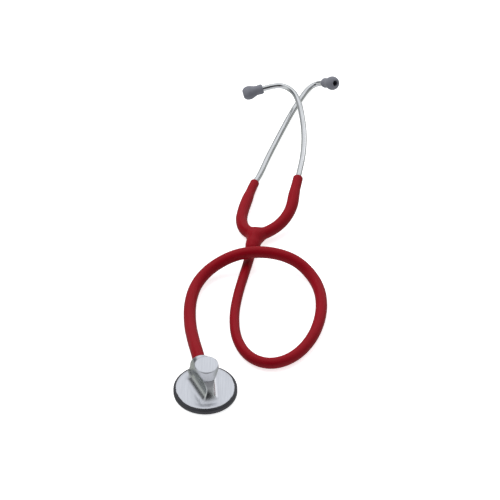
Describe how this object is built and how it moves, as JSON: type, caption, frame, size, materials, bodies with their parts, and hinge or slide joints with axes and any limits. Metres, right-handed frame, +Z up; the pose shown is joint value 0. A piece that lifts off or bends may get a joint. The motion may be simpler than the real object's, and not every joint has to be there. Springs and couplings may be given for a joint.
{
  "type": "stethoscope",
  "caption": "Single-sided acoustic stethoscope: weighted steel chestpiece with a diaphragm, one looped soft tube, and a sprung headset with crossed ear tubes and soft ear tips.",
  "frame": {"origin": "under the middle of the object without its tubing, on the surface it lies on", "axes": "+Z up, +Y from the chestpiece towards the ear tips, +X towards the ear tip of the left arm's tube"},
  "size_m": [0.136, 0.4023, 0.0307],
  "materials": {
    "steel": "brushed flats, polished scoops",
    "polished_steel": "polished",
    "spring_steel": "plain",
    "rim_rubber": "satin",
    "diaphragm_plastic": "smooth",
    "red_pvc": "satin",
    "hard_plastic": "satin",
    "grey_silicone": "matte"
  },
  "bodies": {
    "base": {"chestpiece_body": "steel", "chestpiece_stem": "steel", "non_chill_rim": "rim_rubber", "suspension_ring": "rim_rubber", "tubing": "red_pvc", "yoke_stem": "red_pvc", "leaf_spring": "spring_steel"},
    "diaphragm_disc": {"diaphragm": "diaphragm_plastic"},
    "left_arm": {"left_yoke_arm": "red_pvc", "left_ear_tube": "polished_steel", "left_spring_clip": "spring_steel", "left_spring_rivet": "spring_steel", "left_tip_insert": "hard_plastic"},
    "right_arm": {"right_yoke_arm": "red_pvc", "right_ear_tube": "polished_steel", "right_spring_clip": "spring_steel", "right_spring_rivet": "spring_steel", "right_tip_insert": "hard_plastic"},
    "left_tip": {"left_ear_tip": "grey_silicone"},
    "right_tip": {"right_ear_tip": "grey_silicone"}
  },
  "joints": [
    {"name": "diaphragm_press", "type": "slide", "parent": "base", "child": "diaphragm_disc", "axis": [0, 0, 1], "range_m": [0, 0.0005], "stiffness_N_per_m": 20000, "deforming": ["suspension_ring"]},
    {"name": "left_headset_flex", "type": "hinge", "parent": "base", "child": "left_arm", "pos_m": [-0.01797, 0.0183, 0.0053], "axis": [0, 0, 1], "range_deg": [0, 24], "stiffness_Nm_per_rad": 1.6, "deforming": ["leaf_spring"]},
    {"name": "right_headset_flex", "type": "hinge", "parent": "base", "child": "right_arm", "pos_m": [0.01503, 0.0096, 0.0098], "axis": [0.2924, 0, -0.9563], "range_deg": [0, 24], "stiffness_Nm_per_rad": 1.6, "deforming": ["leaf_spring"]},
    {"name": "left_ear_tip_pull", "type": "slide", "parent": "left_arm", "child": "left_tip", "axis": [0.5203, -0.6771, 0.5203], "range_m": [0, 0.009]},
    {"name": "right_ear_tip_pull", "type": "slide", "parent": "right_arm", "child": "right_tip", "axis": [-0.9588, -0.1933, -0.2081], "range_m": [0, 0.009]}
  ]
}
